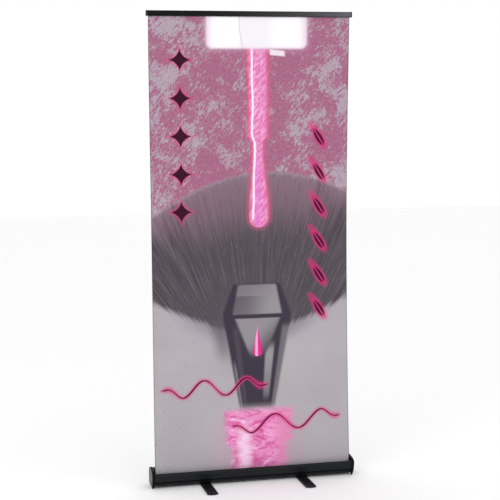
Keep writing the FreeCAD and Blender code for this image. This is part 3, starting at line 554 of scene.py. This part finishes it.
    # --- ink mottle and the cut edges
    ink = k.noise(k.join(x * 900.0, v * 900.0, 0.0), 1.0, 2.0, 0.6)
    body = k.mix(ink.step(0.2, 0.8) * 0.06, body, (0.0, 0.0, 0.0, 1.0))
    edge = (x.abs() - (WIDE / 2 - 0.0045)).step(0.0, 0.003)
    body = k.mix(edge * 0.45, body, lin(60, 52, 60))
    k.set("Base Color", body)
    soft = k.noise(xy, 3.0, 2.0, 0.5)
    k.set("Roughness", soft * 0.08 + ink * 0.05 + 0.50)
    k.set("Specular IOR Level", 0.12)
    weave = (x * 5200.0).sin() * (v * 5200.0).sin()
    k.bump(weave * 0.4 + ink * 0.6, 0.08, 0.0001)
    return k.m


def film_back():
    """The film's unprinted grey light-block back: fine fabric-like emboss and faint scuffs."""
    k = Tree("film_back")
    x, y, z = k.place()
    p = k.join(x, y, z)
    scuff = k.noise(k.join(x * 3.0, y, z * 1.2), 6.0, 5.0, 0.65)
    emboss = (x * 4200.0).sin() * (z * 4200.0).sin()
    grit = k.noise(p, 800.0, 2.0, 0.5)
    k.set("Base Color", k.mix(scuff.step(0.35, 0.75), (0.46, 0.46, 0.47, 1.0), (0.53, 0.53, 0.54, 1.0)))
    k.set("Roughness", scuff * 0.14 + grit * 0.08 + 0.44)
    k.set("Specular IOR Level", 0.3)
    k.bump(emboss * 0.5 + grit * 0.5, 0.15, 0.0001)
    return k.m


def film_leader():
    """The unprinted front of the film below the print: plain pale grey, with a faint wind-up line or two."""
    k = Tree("film_leader")
    x, y, z = k.place()
    p = k.join(x, y, z)
    mist = k.noise(p, 5.0, 3.0, 0.5)
    grit = k.noise(p, 800.0, 2.0, 0.5)
    line = k.noise(k.join(x * 0.8, y, z * 110.0), 1.0, 2.0, 0.5)
    k.set("Base Color", k.mix(mist.step(0.3, 0.7), lin(173, 167, 173), lin(180, 175, 180)))
    k.set("Roughness", mist * 0.08 + grit * 0.06 + 0.50)
    k.set("Specular IOR Level", 0.12)
    k.bump(line * 0.6 + grit * 0.4, 0.12, 0.0001)
    return k.m


M_LEADER = film_leader()
M_PRINT = film_print()
M_BACK = film_back()

MATERIAL_OF = {
    "base_housing": M_HOUSING, "end_cap_left": M_CAP, "end_cap_right": M_CAP,
    "floor_pad_left": M_RUBBER, "floor_pad_right": M_RUBBER,
    "cap_screws_left": M_STEEL, "cap_screws_right": M_STEEL,
    "foot_bolt_left": M_STEEL, "foot_bolt_right": M_STEEL, "foot_washers": M_NYLON, "foot_nuts": M_STEEL,
    "roller_bush": M_NYLON, "shaft_holder": M_NYLON, "spring_shaft": M_STEEL, "spring_anchor": M_NYLON,
    "tension_lock_pin": M_STEEL, "torsion_spring": M_SPRING, "pole_socket": M_PLASTIC, "socket_screws": M_STEEL,
    "foot_left": M_FOOT, "foot_right": M_FOOT,
    "roller_tube": M_TUBE, "banner_wraps": M_BACK, "roller_plug_left": M_PLASTIC, "roller_plug_right": M_PLASTIC,
    "roller_pin": M_STEEL, "spring_drive_plug": M_NYLON,
    "pole_lower": M_POLE, "pole_foot_plug": M_PLASTIC, "pole_ferrule_lower": M_STEEL, "pole_cord": M_CORD,
    "pole_middle": M_POLE, "pole_ferrule_upper": M_STEEL, "pole_upper": M_POLE, "pole_head": M_PLASTIC,
    "top_rail": M_RAIL, "rail_end_cap_left": M_RAIL_CAP, "rail_end_cap_right": M_RAIL_CAP, "grip_strip": M_GRIP,
    "banner_film": M_BACK,
}
for name, node in NODES.items():
    node.data.materials.clear()
    node.data.materials.append(MATERIAL_OF[name])


# ------------------------------------------------------------------ the film
def smooth(t):
    t = min(max(t, 0.0), 1.0)
    return t * t * (3 - 2 * t)


def make_film(name="banner", z_low=0.0165, z_high=None, behind=0.0, rows=240, front=None):
    """The film, pulled tight between the slot and the rail. Its free side edges curl back between the two, and it has faint waves from the wind-up."""
    lo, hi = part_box("banner_film")
    plane = (lo.y + hi.y) / 2 + behind
    aside = 0.0025   # the film hangs from the rail, which is off centre
    z_top = hi.z - 0.0002
    z_high = z_top if z_high is None else z_high
    z_slot = 0.060
    half = (hi.x - lo.x) / 2
    nx, nz = 120, rows
    curl_from, depth = 0.130, 0.028
    bm = bmesh.new()
    uv = bm.loops.layers.uv.new("print")
    grid, place = [], {}
    for j in range(nz + 1):
        z = z_low + (z_high - z_low) * j / nz
        t = min(max((z - z_slot) / (z_top - 0.004 - z_slot), 0.0), 1.0)
        amount = max(math.sin(math.pi * t), 0.0) ** 0.8
        row = []
        for i in range(nx + 1):
            # columns closer together towards the side edges, where it curls
            a = -1 + 2 * i / nx
            flat = half * (a * 0.72 + 0.28 * a * abs(a))
            edge = abs(flat) - (half - curl_from)
            x, y = flat, 0.0
            d = depth * amount
            if edge > 0 and d > 1e-6:
                bend = 2 * d / curl_from           # the curl's whole turn, in radians
                r = curl_from / bend
                ang = edge / r
                x = math.copysign(half - curl_from + r * math.sin(ang), flat)
                y = r * (1 - math.cos(ang))
            ripple = 0.0008 * amount * math.sin(flat * 21.0 + z * 3.1) + 0.0006 * amount * math.sin(flat * 47.0 - z * 5.3 + 1.0)
            vert = bm.verts.new((x + aside, plane + y + ripple, z))
            place[vert] = (flat, z)
            row.append(vert)
        grid.append(row)
    top = hi.z
    z_print0 = 0.0585   # foot of the visible print
    for j in range(nz):
        for i in range(nx):
            f = bm.faces.new((grid[j][i], grid[j][i + 1], grid[j + 1][i + 1], grid[j + 1][i]))
            f.smooth = True
            for loop in f.loops:
                flat, z = place[loop.vert]
                loop[uv].uv = (flat / WIDE + 0.5, (z - z_print0) / (rail_low - z_print0))
    mesh = bpy.data.meshes.new(name)
    bm.to_mesh(mesh)
    bm.free()
    o = bpy.data.objects.new(name, mesh)
    bpy.context.scene.collection.objects.link(o)
    mesh.materials.append(front or M_PRINT)
    mesh.materials.append(M_BACK)
    sol = o.modifiers.new("thickness", "SOLIDIFY")
    sol.thickness = 0.00028
    sol.offset = 0.0
    sol.use_rim = True
    sol.material_offset = 1
    sol.material_offset_rim = 1
    bpy.context.view_layer.objects.active = o
    o.select_set(True)
    bpy.ops.object.modifier_apply(modifier=sol.name)
    o.select_set(False)
    return o, (z_low, z_high)


rail_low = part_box("top_rail")[0].z
film, (film_z0, film_z1) = make_film()
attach(film, "rail")
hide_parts("banner_film")
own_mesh(film)

# the blank leader wound on the roller, which comes up out of the slot behind the film when the pole is lifted
leader, (leader_z0, leader_z1) = make_film("banner_leader", 0.0165, 0.1850, 0.0008, 30, M_LEADER)
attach(leader, "base")
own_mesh(leader)

# ------------------------------------------------------------------ floor, light, camera
me = bpy.data.meshes.new("floor")
me.from_pydata([(-14, -14, 0), (14, -14, 0), (14, 14, 0), (-14, 14, 0)], [], [(0, 1, 2, 3)])
floor = bpy.data.objects.new("floor", me)
bpy.context.scene.collection.objects.link(floor)
kf = Tree("floor_pale")
kf.set("Base Color", (0.965, 0.965, 0.965, 1.0))
kf.set("Roughness", 0.9)
kf.set("Specular IOR Level", 0.1)
me.materials.append(kf.m)

world = bpy.data.worlds.new("studio")
bpy.context.scene.world = world
world.use_nodes = True
bpy.context.scene.view_settings.view_transform = "Standard"
bg = world.node_tree.nodes["Background"]
bg.inputs[0].default_value = (1.0, 1.0, 1.0, 1.0)
bg.inputs[1].default_value = 1.0


def area(name, at, to, size, power, colour=(1, 1, 1)):
    light = bpy.data.lights.new(name, "AREA")
    light.shape = "RECTANGLE"
    light.size, light.size_y = size
    light.energy = power
    light.color = colour
    o = bpy.data.objects.new(name, light)
    bpy.context.scene.collection.objects.link(o)
    o.location = at
    o.rotation_euler = (Vector(to) - Vector(at)).to_track_quat("-Z", "Y").to_euler()
    return o


area("key", (-3.2, -3.4, 3.2), (0, 0, 0.9), (2.2, 2.2), 30.0)
area("fill", (3.4, -2.6, 2.2), (0, 0, 1.0), (2.0, 2.4), 12.0)

cam_data = bpy.data.cameras.new("camera")
cam = bpy.data.objects.new("camera", cam_data)
bpy.context.scene.collection.objects.link(cam)
bpy.context.scene.camera = cam
yaw, pitch, roll = 0.222621, 0.109520, -0.007894
fwd = Vector((math.sin(yaw) * math.cos(pitch), math.cos(yaw) * math.cos(pitch), -math.sin(pitch)))
right = Vector((math.cos(yaw), -math.sin(yaw), 0.0))
up = right.cross(fwd)
r = right * math.cos(roll) + up * math.sin(roll)
u = -right * math.sin(roll) + up * math.cos(roll)
rot = Matrix((r, u, -fwd)).transposed()
cam.matrix_world = Matrix.Translation((-1.1914, -5.2468, 1.5834)) @ rot.to_4x4()
cam_data.sensor_fit = "HORIZONTAL"
cam_data.sensor_width = 36.0
cam_data.lens = 1287.1 * 36.0 / 500.0
cam_data.clip_start, cam_data.clip_end = 0.05, 60.0
